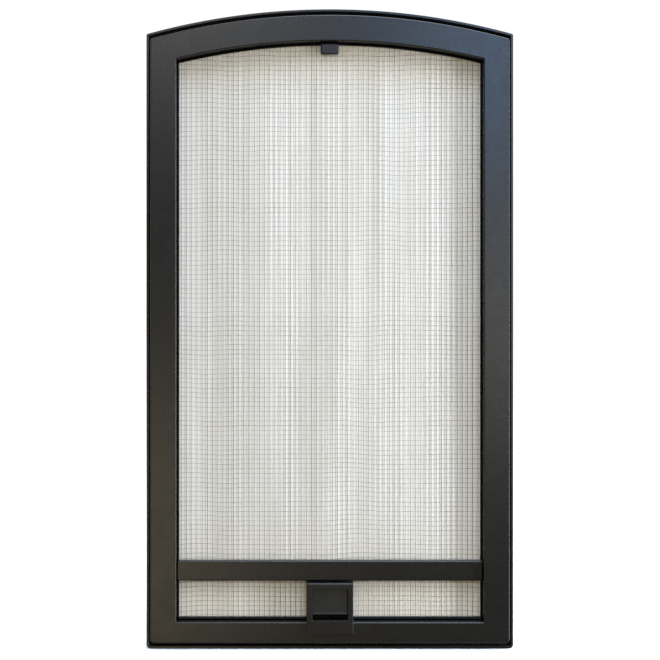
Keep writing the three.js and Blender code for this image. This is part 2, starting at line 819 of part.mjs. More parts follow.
const screen = new THREE.Group();
const frame = new THREE.Group();
const panel = new THREE.Group();
const latch = new THREE.Group();
screen.add(frame, panel);
panel.add(latch);

frame.add(
  part("front_frame", frontFrame(), blackCoat),
  part("back_frame", backFrame(), blackCoat),
  part("strike_plate", strikePlate(), zinc),
  part("pivot_keeper", pivotKeeper(), blackCoat),
);
postPlaces.forEach(([x, z], i) => {
  frame.add(part(`frame_screw_${i + 1}`, screw(frameScrewLength), zinc, [x, backFrameRear, z]));
});
[-1, 1].forEach((side, i) => {
  const place = [side * keeperScrewSpread, backFrameRear, keeperScrewHeight];
  frame.add(part(`keeper_screw_${i + 1}`, screw(keeperScrewLength), zinc, place));
});
const bumperSide = panelHalf - bumperInset;
[-1, 1].forEach((side) => {
  evenly(bumpersPerSide, panelBottom, panelShoulder).forEach((z, i) => {
    const pad = barAlongY(bumperDiameter / 2, [panelRear + cutGap, flangeFront], 0, 0, 12);
    const place = [side * bumperSide, 0, z];
    frame.add(part(`bumper_${side < 0 ? "left" : "right"}_${i + 1}`, pad, rubber, place));
  });
});

panel.add(
  part("panel_frame", panelFrame(), blackCoat),
  part("wire_mesh", panelSheet(meshFront, meshThickness), meshCoat),
  part("backing_cloth", panelSheet(clothFront, clothThickness), glassCloth),
  part("panel_retainer", retainer(), blackCoat),
  part("mid_rail", midRail(), blackCoat),
  part("mid_rail_backer", railBacker(), zinc),
  part("top_hook", topHook(), blackCoat),
);
railScrewPlaces.forEach(([x, z], i) => {
  const seat = clothRear + railBackerThickness;
  const body = screw(seat - railFront - sheet - railScrewTipGap);
  panel.add(part(`rail_screw_${i + 1}`, body, zinc, [x, seat, z]));
});
const pin = barAlongX(pivotDiameter / 2, [-pinLength / 2, pinLength / 2], 0, 0);
panel.add(part("pivot_pin", pin, zinc, [0, pivotDepth, pivotHeight]));

latch.add(
  part("latch_housing", latchHousing(), blackCoat),
  part("latch_cover", latchCover(), zinc),
  part("latch_backer", latchBacker(), zinc),
  part("latch_thumb_pad", thumbPad(), blackCoat),
  part("latch_bolt", latchBolt(), zinc),
  part("latch_rivet", boltRivet(), zinc, [0, 0, rivetHeight]),
  part("detent_spring", detentSpring(), springSteel),
);
latchScrewPlaces.forEach(([x, z], i) => {
  const seat = clothRear + latchBackerThickness;
  const body = screw(seat - boltSpace[0], screwDiameter, latchScrewHead);
  latch.add(part(`latch_screw_${i + 1}`, body, zinc, [x, seat, z]));
});

[-1, 1].forEach((side) => {
  const hand = side < 0 ? "left" : "right";
  const stand = new THREE.Group();
  stand.position.set(side * legSide, legDepth, 0);
  const glide = part(`glide_${hand}`, footGlide(), rubber);
  glide.scale.x = side;
  stand.add(part(`foot_${hand}`, foot(), blackCoat), glide);
  clipHeights.forEach((z, i) => {
    const clip = part(`foot_clip_${hand}_${i + 1}`, legClip(), zinc, [0, 0, z]);
    clip.scale.x = side;
    const screwPlace = [side * clipScrewX, backFrameRear - legDepth + clipWall, z];
    stand.add(clip, part(`clip_screw_${hand}_${i + 1}`, screw(clipScrewLength), zinc, screwPlace));
  });
  screen.add(stand);
});

// The origin is on the floor in the middle of the footprint.
const footprint = new THREE.Box3().setFromObject(screen, true);
screen.position.y = -(footprint.min.y + footprint.max.y) / 2;

export default screen;
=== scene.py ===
"""Fireplace screen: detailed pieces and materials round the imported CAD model. Metres, +Z up, front to -Y."""

import json
import math

import bmesh
import bpy
import numpy as np
from mathutils import Matrix, Vector


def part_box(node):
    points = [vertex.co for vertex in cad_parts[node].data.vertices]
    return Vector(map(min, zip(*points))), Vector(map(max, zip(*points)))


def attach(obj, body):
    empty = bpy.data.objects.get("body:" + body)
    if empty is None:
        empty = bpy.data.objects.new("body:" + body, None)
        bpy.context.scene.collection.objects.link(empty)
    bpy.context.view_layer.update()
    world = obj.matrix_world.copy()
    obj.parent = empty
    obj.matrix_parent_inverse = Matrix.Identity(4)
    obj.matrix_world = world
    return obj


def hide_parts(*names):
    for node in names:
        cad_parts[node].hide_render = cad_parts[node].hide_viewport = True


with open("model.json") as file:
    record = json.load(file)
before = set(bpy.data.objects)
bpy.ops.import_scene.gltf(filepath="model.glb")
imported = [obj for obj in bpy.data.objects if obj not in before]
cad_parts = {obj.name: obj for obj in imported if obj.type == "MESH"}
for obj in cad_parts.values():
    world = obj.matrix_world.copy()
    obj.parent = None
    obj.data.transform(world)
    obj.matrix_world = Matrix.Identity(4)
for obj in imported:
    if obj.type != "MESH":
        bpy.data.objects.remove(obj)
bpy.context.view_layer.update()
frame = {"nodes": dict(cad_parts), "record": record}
MM = 0.001
scene = bpy.context.scene
scene.view_settings.view_transform = "Standard"
scene.view_settings.look = "None"

# ---------------------------------------------------------------- places read from the frame
BACK_LOW, BACK_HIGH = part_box("back_frame")
FRONT_LOW, FRONT_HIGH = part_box("front_frame")
PANEL_LOW, PANEL_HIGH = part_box("panel_frame")
FACE = FRONT_LOW.y
HEIGHT = BACK_HIGH.z
HALF = BACK_HIGH.x
REAR = BACK_HIGH.y
LIP = BACK_LOW.y
SHEET = 1.2 * MM
FLANGE = REAR - SHEET
UPRIGHT_PITCH = 6.21 * MM

# ---------------------------------------------------------------- camera
CAMERA_DISTANCE = 1.6
camera_data = bpy.data.cameras.new("camera")
camera_data.lens = 73.8
camera_data.sensor_width = 36
camera_data.shift_x = 0.0500
camera_data.shift_y = -0.0106
camera_data.clip_end = 50
camera = bpy.data.objects.new("camera", camera_data)
scene.collection.objects.link(camera)
camera.location = (-0.039, FACE - CAMERA_DISTANCE, 0.387)
camera.rotation_euler = (math.radians(90), 0, 0)
scene.camera = camera


# ---------------------------------------------------------------- materials
class Shader:
    """A node tree with a Principled shader, and short calls for the nodes that the materials share."""

    def __init__(self, name, **sockets):
        self.material = bpy.data.materials.new(name)
        self.material.use_nodes = True
        self.nodes = self.material.node_tree.nodes
        self.links = self.material.node_tree.links
        self.base = self.nodes["Principled BSDF"]
        self.coords = self.nodes.new("ShaderNodeTexCoord").outputs["Object"]
        for socket, value in sockets.items():
            self.base.inputs[socket.replace("_", " ")].default_value = value

    def link(self, source, target):
        self.links.new(source, target)

    def noise(self, scale, detail=3.0, roughness=0.5, stretch=None):
        node = self.nodes.new("ShaderNodeTexNoise")
        node.inputs["Scale"].default_value = scale
        node.inputs["Detail"].default_value = detail
        node.inputs["Roughness"].default_value = roughness
        vector = self.coords
        if stretch:
            mapping = self.nodes.new("ShaderNodeMapping")
            mapping.inputs["Scale"].default_value = stretch
            self.link(vector, mapping.inputs["Vector"])
            vector = mapping.outputs["Vector"]
        self.link(vector, node.inputs["Vector"])
        return node.outputs["Fac"]

    def span(self, value, low, high, source_low=0.0, source_high=1.0):
        node = self.nodes.new("ShaderNodeMapRange")
        node.inputs["From Min"].default_value = source_low
        node.inputs["From Max"].default_value = source_high
        node.inputs["To Min"].default_value = low
        node.inputs["To Max"].default_value = high
        self.link(value, node.inputs["Value"])
        return node.outputs["Result"]

    def mix(self, factor, first, second):
        node = self.nodes.new("ShaderNodeMix")
        node.data_type = "RGBA"
        self.link(factor, node.inputs["Factor"])
        for colour, socket in ((first, node.inputs[6]), (second, node.inputs[7])):
            if isinstance(colour, bpy.types.NodeSocket):
                self.link(colour, socket)
            else:
                socket.default_value = (*colour, 1)
        return node.outputs[2]

    def bump(self, height, strength, distance):
        node = self.nodes.new("ShaderNodeBump")
        node.inputs["Strength"].default_value = strength
        node.inputs["Distance"].default_value = distance
        self.link(height, node.inputs["Height"])
        previous = self.base.inputs["Normal"].links
        if previous:
            self.link(previous[0].from_socket, node.inputs["Normal"])
        self.link(node.outputs["Normal"], self.base.inputs["Normal"])


def powder_coat(name, dark=(0.0045, 0.0045, 0.0042), light=(0.0053, 0.0053, 0.0050), rough=(0.26, 0.29)):
    """Satin black powder coat: orange peel a millimetre across, slight cloudiness and fine dust."""
    s = Shader(name, Metallic=0.0, IOR=1.5, Specular_IOR_Level=0.36)
    cloud = s.noise(14, 4, 0.55)
    s.link(s.mix(s.span(cloud, 0, 1, 0.35, 0.65), dark, light), s.base.inputs["Base Color"])
    s.link(s.span(s.noise(60, 3), *rough, 0.3, 0.7), s.base.inputs["Roughness"])
    s.bump(s.noise(900, 2), 0.07, 0.0002)
    return s.material


def painted_recess_shade_coat(name, shade_start):
    """Powder coat that turns dull deeper in than a given depth: painted shade for the dark inside of a recess.
    """
    material = powder_coat(name)
    nodes, links = material.node_tree.nodes, material.node_tree.links
    place = nodes.new("ShaderNodeSeparateXYZ")
    links.new(nodes.new("ShaderNodeTexCoord").outputs["Object"], place.inputs["Vector"])
    # Painted shade: the specular level falls from 0.36 to 0.02 over 0.4 mm past the given depth.
    painted_shade = nodes.new("ShaderNodeMapRange")
    painted_shade.inputs["From Min"].default_value = shade_start
    painted_shade.inputs["From Max"].default_value = shade_start + 0.4 * MM
    painted_shade.inputs["To Min"].default_value = 0.36
    painted_shade.inputs["To Max"].default_value = 0.02
    links.new(place.outputs["Y"], painted_shade.inputs["Value"])
    links.new(painted_shade.outputs["Result"], nodes["Principled BSDF"].inputs["Specular IOR Level"])
    return material


def zinc_plate():
    s = Shader("zinc_plate", Metallic=1.0)
    tone = s.mix(s.span(s.noise(120, 3), 0, 1, 0.3, 0.7), (0.42, 0.43, 0.45), (0.62, 0.62, 0.60))
    s.link(tone, s.base.inputs["Base Color"])
    s.link(s.span(s.noise(300, 2), 0.28, 0.48), s.base.inputs["Roughness"])
    s.bump(s.noise(1500, 2), 0.08, 0.0001)
    return s.material


def spring_strip():
    s = Shader("spring_strip", Metallic=1.0)
    tone = s.mix(s.noise(400, 2, stretch=(1, 1, 0.05)), (0.28, 0.29, 0.32), (0.45, 0.45, 0.44))
    s.link(tone, s.base.inputs["Base Color"])
    s.link(s.span(s.noise(200, 2), 0.2, 0.35), s.base.inputs["Roughness"])
    return s.material


def moulded_rubber():
    s = Shader("moulded_rubber")
    s.link(s.mix(s.noise(90, 3), (0.010, 0.010, 0.010), (0.022, 0.021, 0.020)), s.base.inputs["Base Color"])
    s.link(s.span(s.noise(220, 2), 0.7, 0.9), s.base.inputs["Roughness"])
    s.bump(s.noise(1200, 2), 0.25, 0.0002)
    return s.material


def wire_coat(name, dark, light):
    """Coated mesh wire: colour varies from wire to wire and along each one."""
    s = Shader(name, Metallic=0.0, IOR=1.5)
    s.link(s.mix(s.span(s.noise(55, 3), 0, 1, 0.3, 0.7), dark, light), s.base.inputs["Base Color"])
    s.link(s.span(s.noise(300, 2), 0.38, 0.6), s.base.inputs["Roughness"])
    s.bump(s.noise(2500, 2), 0.2, 0.0001)
    return s.material


def glass_cloth():
    """Plain-weave off-white cloth: fine crossed threads and faint upright bands. On its front there is painted
    shade: darker upright streaks, a painted shadow line beside each upright wire, and a warmer, darker tone
    near the top and the bottom where the frame shades it. Its back has the bands alone."""
    s = Shader("glass_cloth", Roughness=0.9)
    threads = []
    for axis in ("X", "Z"):
        wave = s.nodes.new("ShaderNodeTexWave")
        wave.bands_direction = axis
        wave.inputs["Scale"].default_value = 190
        wave.inputs["Distortion"].default_value = 0.6
        wave.inputs["Detail"].default_value = 1
        s.link(s.coords, wave.inputs["Vector"])
        threads.append(wave.outputs["Fac"])
    weave = s.nodes.new("ShaderNodeMath")
    weave.operation = "MULTIPLY"
    for socket, thread in zip(weave.inputs, threads):
        s.link(thread, socket)
    cloud = s.span(s.noise(24, 2, stretch=(1, 1, 0.08)), 0, 1, 0.38, 0.62)
    tone = s.mix(cloud, (0.70, 0.66, 0.585), (0.82, 0.78, 0.705))
    plain = tone
    # Painted shade: random darker upright streaks, standing in for soft shadow bands the wires throw on the
    # cloth.
    painted_streak_shade = s.span(s.noise(330, 2, stretch=(1, 1, 0.06)), 0, 0.22, 0.50, 0.68)
    tone = s.mix(painted_streak_shade, tone, (0.62, 0.535, 0.39))
    # Painted shadow: a darker band at the upright wire pitch, just beside each wire, as if it cast a shadow on
    # the cloth.
    painted_wire_shadow = s.nodes.new("ShaderNodeTexWave")
    painted_wire_shadow.bands_direction = "X"
    painted_wire_shadow.inputs["Scale"].default_value = math.pi / (10 * UPRIGHT_PITCH)
    painted_wire_shadow.inputs["Distortion"].default_value = 0.8
    painted_wire_shadow.inputs["Detail"].default_value = 1
    painted_wire_shadow.inputs["Detail Scale"].default_value = 0.3
    painted_wire_shadow.inputs["Phase Offset"].default_value = 2.2
    s.link(s.coords, painted_wire_shadow.inputs["Vector"])
    tone = s.mix(s.span(painted_wire_shadow.outputs["Fac"], 0, 0.5, 0.62, 0.95), tone, (0.50, 0.44, 0.33))
    place = s.nodes.new("ShaderNodeSeparateXYZ")
    s.link(s.coords, place.inputs["Vector"])
    # Painted shade: a darker, warmer tone under the head and above the sill, where the frame shades the cloth.
    painted_edge_shade = (0.64, 0.565, 0.42)
    tone = s.mix(s.span(place.outputs["Z"], 0, 1, 0.655, 0.725), tone, painted_edge_shade)
    tone = s.mix(s.span(place.outputs["Z"], 0.55, 0, 0.06, 0.16), tone, painted_edge_shade)
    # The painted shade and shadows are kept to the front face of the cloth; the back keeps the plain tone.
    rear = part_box("backing_cloth")[1].y
    front_only = s.span(place.outputs["Y"], 1, 0, rear - 0.04 * MM, rear - 0.01 * MM)
    tone = s.mix(front_only, plain, tone)
    s.link(s.mix(s.span(weave.outputs[0], 0.0, 0.35), tone, (0.68, 0.615, 0.50)), s.base.inputs["Base Color"])
    s.bump(weave.outputs[0], 0.3, 0.0002)
    return s.material


COAT = powder_coat("black_powder_coat")
ZINC = zinc_plate()
SPRING = spring_strip()
RUBBER = moulded_rubber()
# One wire coat in two copies: the cross wires get a lighter one, a painted highlight for the top light they
# catch,
# and the upright wires a darker one, painted shade for their sides turned from that light.
UPRIGHT_WIRE_PAINTED_SHADE = wire_coat("upright_wire_coat_painted_shade", (0.045, 0.036, 0.022), (0.085, 0.068, 0.040))
CROSS_WIRE_PAINTED_LIGHT = wire_coat("cross_wire_coat_painted_light", (0.085, 0.070, 0.044), (0.150, 0.125, 0.080))
CLOTH = glass_cloth()


# ---------------------------------------------------------------- mesh helpers
def piece(name, verts, faces, material, body, smooth=True, nodes=()):
    """A mesh piece on a body, standing for the CAD nodes named."""
    mesh = bpy.data.meshes.new(name)
    mesh.from_pydata([tuple(v) for v in verts], [], faces)
    mesh.update()
    return add(name, mesh, material, body, smooth, nodes)


BUILT = []


def add(name, mesh, material, body, smooth=True, nodes=()):
    mesh.materials.append(material)
    for polygon in mesh.polygons:
        polygon.use_smooth = smooth
    obj = bpy.data.objects.new(name, mesh)
    scene.collection.objects.link(obj)
    if smooth:
        mesh.set_sharp_from_angle(angle=math.radians(38))
    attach(obj, body)
    BUILT.append(obj)
    if nodes:
        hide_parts(*nodes)
    return obj


def even_normals():
    """Keeps broad flat faces flat beside their rounded edges, on every piece but the fine wires."""
    for obj in BUILT:
        if not obj.name.startswith("mesh_"):
            modifier = obj.modifiers.new("normals", "WEIGHTED_NORMAL")
            modifier.keep_sharp = True
            modifier.weight = 80


def arc(cx, cz, radius, start, end, steps):
    angles = np.linspace(start, end, steps + 1)
    return [(cx + radius * math.cos(a), cz + radius * math.sin(a)) for a in angles]


HEAD_STEPS = 96
CORNER_STEPS = 6
LEAST_CORNER = 0.25 * MM


class Outline:
    """An arched outline: upright sides, a flat bottom and a round head."""

    def __init__(self, half, bottom, top, radius, foot=1.0 * MM, shoulder=1.0 * MM):
        self.half, self.bottom, self.top, self.radius = half, bottom, top, radius
        self.foot, self.shoulder = foot, shoulder

    def inset(self, distance, bottom=None):
        rise = distance if bottom is None else bottom
        return Outline(self.half - distance, self.bottom + rise, self.top - distance, self.radius - distance,
                       max(self.foot - distance, LEAST_CORNER), max(self.shoulder - distance, LEAST_CORNER))

    def head(self, x):
        return self.top - self.radius + math.sqrt(self.radius**2 - x**2)

    def points(self):
        centre = self.top - self.radius
        sx = self.half - self.shoulder
        sz = centre + math.sqrt((self.radius - self.shoulder) ** 2 - sx**2)
        start = math.atan2(sz - centre, sx)
        quarter = math.pi / 2
        right = arc(self.half - self.foot, self.bottom + self.foot, self.foot, -quarter, 0, CORNER_STEPS)
        right += arc(sx, sz, self.shoulder, 0, start, CORNER_STEPS)[:-1]
        head = arc(0, centre, self.radius, start, math.pi - start, HEAD_STEPS)
        left = arc(-sx, sz, self.shoulder, math.pi - start, math.pi, CORNER_STEPS)[1:]
        left += arc(self.foot - self.half, self.bottom + self.foot, self.foot, math.pi, 3 * quarter,
                    CORNER_STEPS)
        return right + head + left


def ring(section):
    """Vertices and faces of a closed ring from its section, a list of (outline, depth) corners."""
    rows = [[(x, y, z) for x, z in outline.points()] for outline, y in section]
    count = len(rows[0])
    faces = []
    for j in range(len(rows)):
        here, there = j * count, ((j + 1) % len(rows)) * count
        for i in range(count):
            k = (i + 1) % count
            faces.append((here + i, here + k, there + k, there + i))
    return [v for row in rows for v in row], faces


# ---------------------------------------------------------------- outlines
HEAD_RADIUS = 820 * MM
SCREEN = Outline(HALF, 0, HEIGHT, HEAD_RADIUS, 5 * MM, 2.4 * MM)
RIM_END = FRONT_LOW.z
FACE_EDGE = Outline(FRONT_HIGH.x, FRONT_LOW.z, FRONT_HIGH.z, HEAD_RADIUS - RIM_END, 5 * MM, 2.4 * MM)
SIDE_GAP, HEAD_GAP, SILL_GAP = 0.8 * MM, 1.3 * MM, 1.0 * MM
OPENING = Outline(PANEL_HIGH.x + SIDE_GAP, PANEL_LOW.z - SILL_GAP, PANEL_HIGH.z + HEAD_GAP,
                  FACE_EDGE.radius - (FACE_EDGE.top - PANEL_HIGH.z - HEAD_GAP))
PANEL = Outline(PANEL_HIGH.x, PANEL_LOW.z, PANEL_HIGH.z, OPENING.radius - HEAD_GAP)


def rounded(outline, direction, depth, radius, steps=5):
    """Section corners of a rounded arris where a wall turns on to the face at depth. direction is +1 where
    the face lies inwards of the outline and -1 where it lies outwards."""
    corners = []
    for i in range(steps + 1):
        angle = math.pi / 2 * i / steps
        inwards = direction * radius * (1 - math.cos(angle))
        corners.append((outline.inset(inwards), depth + radius * (1 - math.sin(angle))))
    return corners


def front_frame():
    """The pressed front frame: a hollow shell with soft arrises and a return round the opening."""
    radius = 1.5 * MM
    return_depth = FACE + 12 * MM
    section = [(FACE_EDGE, FLANGE)]
    section += rounded(FACE_EDGE, 1, FACE, radius)
    section += list(reversed(rounded(OPENING, -1, FACE, radius)))
    section += [(OPENING, return_depth - 0.3 * MM), (OPENING.inset(-0.3 * MM), return_depth)]
    section += [(OPENING.inset(-SHEET), return_depth)]
    section += [(OPENING.inset(-SHEET), FACE + 1.8 * MM), (OPENING.inset(-1.8 * MM), FACE + SHEET)]
    section += [(FACE_EDGE.inset(1.8 * MM), FACE + SHEET), (FACE_EDGE.inset(SHEET), FACE + 1.8 * MM)]
    section += [(FACE_EDGE.inset(SHEET), FLANGE)]
    verts, faces = ring(section)
    shell = piece("front_frame_shell", verts, faces, COAT, "frame", nodes=["front_frame"])
    hook_low, hook_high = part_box("top_hook")
    bolt_low, bolt_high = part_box("latch_bolt")
    side, ahead, past, gap = 0.7 * MM, 1.5 * MM, 1 * MM, 0.4 * MM
    notches = [
        box_mesh("hook_notch", (hook_low.x - side, hook_low.y - ahead, OPENING.top - 2 * past),
                 (hook_high.x + side, return_depth + past, OPENING.top + SHEET + past)),
        box_mesh("bolt_notch", (bolt_low.x - gap, bolt_low.y - gap, OPENING.bottom - SHEET - past),
                 (bolt_high.x + gap, return_depth + past, OPENING.bottom + past)),
    ]
    finish_solid(shell, notches, 0, 0)
    shell.data.set_sharp_from_angle(angle=math.radians(38))


def back_frame():
    """The back frame: rolled front lip, outer wall and a rear flange behind the panel."""
    lip = 3.0 * MM
    ledge = PANEL.inset(8 * MM)
    roll = 0.5 * MM
    section = [(SCREEN.inset(0.6 * MM), REAR), (SCREEN, REAR - 0.6 * MM)]
    section += rounded(SCREEN, 1, LIP, roll)
    section += list(reversed(rounded(SCREEN.inset(lip), -1, LIP, roll)))
    section += [(SCREEN.inset(lip), LIP + 4 * MM), (SCREEN.inset(SHEET), LIP + 5 * MM)]
    section += [(SCREEN.inset(SHEET), FLANGE), (ledge.inset(-0.3 * MM), FLANGE), (ledge, FLANGE + 0.3 * MM)]
    section += [(ledge, REAR - 0.3 * MM), (ledge.inset(-0.3 * MM), REAR)]
    verts, faces = ring(section)
    piece("back_frame_shell", verts, faces, COAT, "frame", nodes=["back_frame"])


# ---------------------------------------------------------------- woven mesh
CROSS_PITCH = 5.66 * MM
UPRIGHT_RADIUS = 0.24 * MM
CROSS_RADIUS = 0.15 * MM
WIRE_SIDES = 6


def tubes(paths, radii, sides=WIRE_SIDES, square_to=(0.0, 1.0, 0.0)):
    """One mesh of round wires, each through its own points, with closed ends. square_to is a direction
    that no path runs along."""
    verts, faces = [], []
    for path, radius in zip(paths, radii):
        path = np.asarray(path)
        tangent = np.gradient(path, axis=0)
        tangent /= np.linalg.norm(tangent, axis=1)[:, None]
        side = np.cross(tangent, np.array(square_to))
        side /= np.linalg.norm(side, axis=1)[:, None]
        normal = np.cross(side, tangent)
        start = len(verts)
        for i in range(sides):
            angle = 2 * math.pi * i / sides
            ring_points = path + radius * (math.cos(angle) * side + math.sin(angle) * normal)
            verts.extend(ring_points.tolist())
        length = len(path)
        for i in range(sides):
            a, b = start + i * length, start + ((i + 1) % sides) * length
            for j in range(length - 1):
                faces.append((a + j, a + j + 1, b + j + 1, b + j))
        faces.append(tuple(start + i * length for i in range(sides)))
        faces.append(tuple(start + (sides - 1 - i) * length + length - 1 for i in range(sides)))
    return verts, faces


def woven_mesh():
    """Crimped upright wires, and finer cross wires that wander up and down."""
    rng = np.random.default_rng(7)
    low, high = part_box("wire_mesh")
    inside = PANEL.inset(1.2 * MM)
    middle = (low.y + high.y) / 2
    crimp = 0.2 * MM
    columns = int((high.x - low.x) / UPRIGHT_PITCH)
    xs = (np.arange(columns) - (columns - 1) / 2) * UPRIGHT_PITCH + rng.normal(0, 0.08 * MM, columns)
    rows = int((high.z - low.z) / CROSS_PITCH)
    zs = low.z + CROSS_PITCH * (np.arange(rows) + 0.5)
    # Each cross wire wanders up and down slowly, and neighbours wander together.
    phases = rng.uniform(0, 2 * math.pi, 4)
    lengths = np.array([0.062, 0.097, 0.171, 0.26])
    heights = np.array([0.35, 0.4, 0.5, 0.5]) * MM

    def wander(x, z):
        slow = z / 0.11
        return sum(h * np.sin(2 * math.pi * x / l + p + (1 + n * 0.4) * slow)
                   for n, (h, l, p) in enumerate(zip(heights, lengths, phases)))

    uprights = []
    for i, x in enumerate(xs):
        top = inside.head(x) - 0.3 * MM
        z = np.arange(low.z, top, CROSS_PITCH / 2)
        z = np.append(z, top)
        sway = 0.10 * MM * np.sin(z / 0.05 + i)
        over = crimp * np.cos(math.pi * (z - low.z - CROSS_PITCH / 2) / CROSS_PITCH) * (1 if i % 2 else -1)
        uprights.append(np.stack([x + sway, middle + over * 0.5, z], axis=1))
    verts, faces = tubes(uprights, UPRIGHT_RADIUS * rng.uniform(0.85, 1.15, columns))
    piece("mesh_upright_wires", verts, faces, UPRIGHT_WIRE_PAINTED_SHADE, "panel", nodes=["wire_mesh"])

    crosses = []
    for j, z in enumerate(zs):
        reach = inside.half
        if z + 2 * MM > inside.head(inside.half):
            drop = inside.radius**2 - (z + 2 * MM - inside.top + inside.radius) ** 2
            if drop <= (20 * MM) ** 2:
                continue
            reach = min(reach, math.sqrt(drop))
        x = np.arange(-reach, reach, UPRIGHT_PITCH / 2)
        x = np.append(x, reach)
        y = middle - 0.5 * crimp * np.cos(math.pi * (x - xs[0]) / UPRIGHT_PITCH) * (1 if j % 2 else -1)
        crosses.append(np.stack([x, y, z + wander(x, z)], axis=1))
    verts, faces = tubes(crosses, CROSS_RADIUS * rng.uniform(0.85, 1.2, len(crosses)))
    piece("mesh_cross_wires", verts, faces, CROSS_WIRE_PAINTED_LIGHT, "panel", nodes=["wire_mesh"])


def backing_cloth():
    """The cloth behind the mesh: a thin closed sheet with shallow upright ripples, flat along its edges."""
    low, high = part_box("backing_cloth")
    outline = PANEL.inset(1.1 * MM)
    columns, rows = 240, 110
    rng = np.random.default_rng(5)
    waves = []
    for length in (6.7, 9.3, 13.1, 19.7, 33.0, 61.0):
        phase, turn = rng.uniform(0, 2 * math.pi), rng.uniform(-1, 1)
        waves.append((length * MM, phase, turn))
    steepness = 0.0035
    slow_drift, quick_drift = 130 * MM, 47 * MM
    flat_margin = 20 * MM
    rest_depth, least_depth, most_depth = 0.25 * MM, -0.05 * MM, 0.75 * MM

    def ripple_at(x, z):
        drift = math.sin(z / slow_drift) + 0.6 * math.sin(z / quick_drift)
        return sum(length * steepness * math.sin(2 * math.pi * x / length + phase + turn * drift)
                   for length, phase, turn in waves)

    front, back = [], []
    for r in range(rows + 1):
        for c in range(columns + 1):
            x = outline.half * (2 * c / columns - 1)
            z = outline.bottom + (outline.head(x) - outline.bottom) * r / rows
            inwards = min(outline.half - abs(x), z - outline.bottom, outline.head(x) - z)
            ripple = ripple_at(x, z) * max(min(1.0, inwards / flat_margin), 0)
            front.append((x, low.y + min(max(rest_depth + ripple, least_depth), most_depth), z))
            back.append((x, high.y, z))
    stride, count = columns + 1, len(front)
    faces = []
    for r in range(rows):
        for c in range(columns):
            a = r * stride + c
            faces.append((a, a + 1, a + 1 + stride, a + stride))
            faces.append((count + a + stride, count + a + 1 + stride, count + a + 1, count + a))
    edge = list(range(columns)) + [columns + r * stride for r in range(rows)]
    edge += [rows * stride + c for c in range(columns, 0, -1)] + [r * stride for r in range(rows, 0, -1)]
    for i, a in enumerate(edge):
        b = edge[(i + 1) % len(edge)]
        faces.append((b, a, count + a, count + b))
    cloth = piece("backing_cloth_sheet", front + back, faces, CLOTH, "panel", nodes=["backing_cloth"])
    samples = 200
    heights = [outline.head(x) - outline.bottom for x in np.linspace(0, outline.half, samples)]


# ---------------------------------------------------------------- rounded blocks and bars
def extruded(name, points, span, material, body, bevel=0.0, segments=3, nodes=(), axis="X",
             cutters=()):
    """A bar from an outline in the plane across the axis: (y, z) for X and (x, z) for Y. Its long edges
    may be bevelled, and boxes may be cut out of it."""
    mesh = bmesh.new()
    place = (lambda p, t: (t, p[0], p[1])) if axis == "X" else (lambda p, t: (p[0], t, p[1]))
    first = [mesh.verts.new(place(p, span[0])) for p in points]
    second = [mesh.verts.new(place(p, span[1])) for p in points]
    mesh.faces.new(first)
    mesh.faces.new(list(reversed(second)))
    for i in range(len(points)):
        k = (i + 1) % len(points)
        mesh.faces.new((first[i], second[i], second[k], first[k]))
    bmesh.ops.recalc_face_normals(mesh, faces=mesh.faces)
    data = bpy.data.meshes.new(name)
    mesh.to_mesh(data)
    mesh.free()
    obj = add(name, data, material, body, True, nodes)
    finish_solid(obj, cutters, bevel, segments)
    return obj


def box_mesh(name, low, high):
    mesh = bmesh.new()
    bmesh.ops.create_cube(mesh, size=1)
    for v in mesh.verts:
        v.co = Vector([low[k] + (v.co[k] + 0.5) * (high[k] - low[k]) for k in range(3)])
    data = bpy.data.meshes.new(name)
    mesh.to_mesh(data)
    mesh.free()
    return data


def finish_solid(obj, cutters, bevel, segments):
    """Cuts the cutter meshes out of a solid, then bevels its sharp edges, and applies both."""
    helpers = []
    for cutter in cutters:
        helper = bpy.data.objects.new("cutter", cutter)
        scene.collection.objects.link(helper)
        modifier = obj.modifiers.new("cut", "BOOLEAN")
        modifier.object = helper
        modifier.solver = "EXACT"
        helpers.append(helper)
    if bevel:
        modifier = obj.modifiers.new("bevel", "BEVEL")
        modifier.width = bevel
        modifier.segments = segments
        modifier.limit_method = "ANGLE"
        modifier.angle_limit = math.radians(30)
    graph = bpy.context.evaluated_depsgraph_get()
    result = bpy.data.meshes.new_from_object(obj.evaluated_get(graph))
    obj.modifiers.clear()
    obj.data = result
    for helper in helpers:
        bpy.data.objects.remove(helper)


BODIES = {node: body for body, nodes in frame["record"]["behaviour"]["bodies"].items() for node in nodes}
SLOTS = {s["node"]: s["material_slot"] for s in frame["record"]["subparts"]}


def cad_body(node):
    """The body that a CAD node belongs to."""
    return BODIES[node]


SLOT_MATERIALS = {"black_coat": COAT, "zinc_steel": ZINC, "spring_steel": SPRING, "rubber": RUBBER,
                  "woven_mesh": UPRIGHT_WIRE_PAINTED_SHADE, "glass_cloth": CLOTH}


def paint_cad_nodes():
    """Every CAD node that stays gets its slot's detailed material."""
    for name, obj in frame["nodes"].items():
        for slot in obj.material_slots:
            slot.link = "OBJECT"
            slot.material = SLOT_MATERIALS[SLOTS[name]]


# ---------------------------------------------------------------- turned pieces
TURN_STEPS = 36


